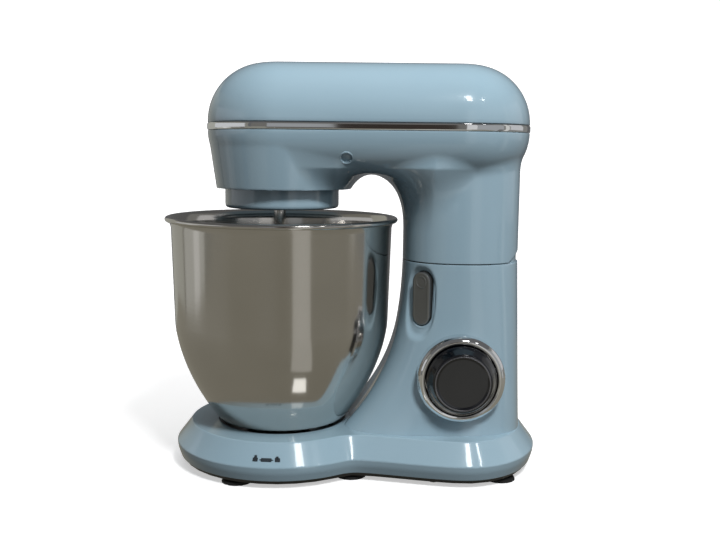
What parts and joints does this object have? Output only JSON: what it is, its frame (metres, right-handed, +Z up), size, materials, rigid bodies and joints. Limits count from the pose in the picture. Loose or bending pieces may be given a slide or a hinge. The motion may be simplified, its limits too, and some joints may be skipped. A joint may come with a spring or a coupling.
{
  "type": "stand mixer",
  "caption": "Tilt-head stand mixer: rounded head with a trim band over a steel bowl, on a waisted base with a knob and a release button.",
  "frame": {"origin": "on the table, under the middle of the mixer's box", "axes": "+X from the bowl towards the column, +Z up, the knob's side faces -Y"},
  "size_m": [0.3224, 0.2, 0.343],
  "materials": {
    "blue": "glossy pale blue",
    "chrome": "mirror",
    "steel": "polished",
    "dark_metal": "satin dark grey",
    "black": "glossy black",
    "rubber": "matte",
    "plain": "cast and machined",
    "nylon": "natural",
    "copper": "wound copper and bronze",
    "board": "circuit board"
  },
  "bodies": {
    "base": {"base_shell": "blue", "base_plate": "black", "plate_screw_1": "plain", "plate_screw_2": "plain", "plate_screw_3": "plain", "plate_screw_4": "plain", "suction_foot_1": "rubber", "suction_foot_2": "rubber", "suction_foot_3": "rubber", "suction_foot_4": "rubber", "suction_foot_5": "rubber", "suction_foot_6": "rubber", "bowl_seat": "plain", "column_deck": "plain", "hinge_bracket": "plain", "hinge_pin": "plain", "safety_switch": "black", "latch_spring": "steel", "knob_bezel": "chrome", "speed_control": "black", "speed_board": "board", "cord_gland": "black"},
    "head": {"head_casing": "blue", "head_cover": "blue", "trim_band": "chrome", "screw_plug_left": "blue", "screw_plug_right": "blue", "neck_cap": "plain", "catch_rod": "plain", "motor_stator": "copper", "motor_bracket_lower": "plain", "motor_bracket_upper": "plain", "brush_holder_left": "plain", "brush_holder_right": "plain", "belt": "rubber", "gearbox_housing": "plain", "gearbox_cover": "plain", "main_bush": "copper", "layshaft_bush": "copper", "ring_gear": "plain"},
    "motor_armature": {"motor_shaft": "plain", "armature_core": "copper", "cooling_fan": "nylon", "drive_pulley": "plain"},
    "layshaft": {"layshaft": "plain", "driven_pulley": "nylon", "pinion": "plain"},
    "planet_carrier": {"main_gear": "nylon", "main_shaft": "plain", "planet_carrier": "blue"},
    "tool_shaft": {"tool_shaft": "steel", "planet_pinion": "plain"},
    "knob": {"knob": "black", "control_shaft": "plain"},
    "release_button": {"release_button": "dark_metal", "latch_slide": "plain"},
    "bowl": {"bowl": "steel"}
  },
  "joints": [
    {"name": "head_tilt", "type": "hinge", "parent": "base", "child": "head", "pos_m": [0.13075, 0, 0.1782], "axis": [0, 1, 0], "range_deg": [0, 35]},
    {"name": "motor_spin", "type": "hinge", "parent": "head", "child": "motor_armature", "pos_m": [0.09325, 0, 0.23], "axis": [0, 0, 1], "continuous": true},
    {"name": "layshaft_spin", "type": "hinge", "parent": "head", "child": "layshaft", "pos_m": [-0.01625, 0, 0.29], "axis": [0, 0, 1], "continuous": true},
    {"name": "carrier_spin", "type": "hinge", "parent": "head", "child": "planet_carrier", "pos_m": [-0.06125, 0, 0.24], "axis": [0, 0, 1], "continuous": true},
    {"name": "tool_spin", "type": "hinge", "parent": "planet_carrier", "child": "tool_shaft", "pos_m": [-0.06125, -0.024, 0.22], "axis": [0, 0, 1], "continuous": true},
    {"name": "knob_turn", "type": "hinge", "parent": "base", "child": "knob", "pos_m": [0.09075, -0.06, 0.084], "axis": [0, 1, 0], "range_deg": [-30, 240]},
    {"name": "button_press", "type": "slide", "parent": "base", "child": "release_button", "axis": [0.6157, 0.788, 0], "range_m": [0, 0.003], "stiffness_N_per_m": 300},
    {"name": "bowl_twist", "type": "hinge", "parent": "base", "child": "bowl", "pos_m": [-0.06125, 0, 0.1], "axis": [0, 0, 1], "range_deg": [0, 28]}
  ],
  "couplings": [
    {"joint": "layshaft_spin", "follows": "motor_spin", "ratio": 0.2},
    {"joint": "carrier_spin", "follows": "motor_spin", "ratio": -0.05},
    {"joint": "tool_spin", "follows": "motor_spin", "ratio": 0.15}
  ]
}
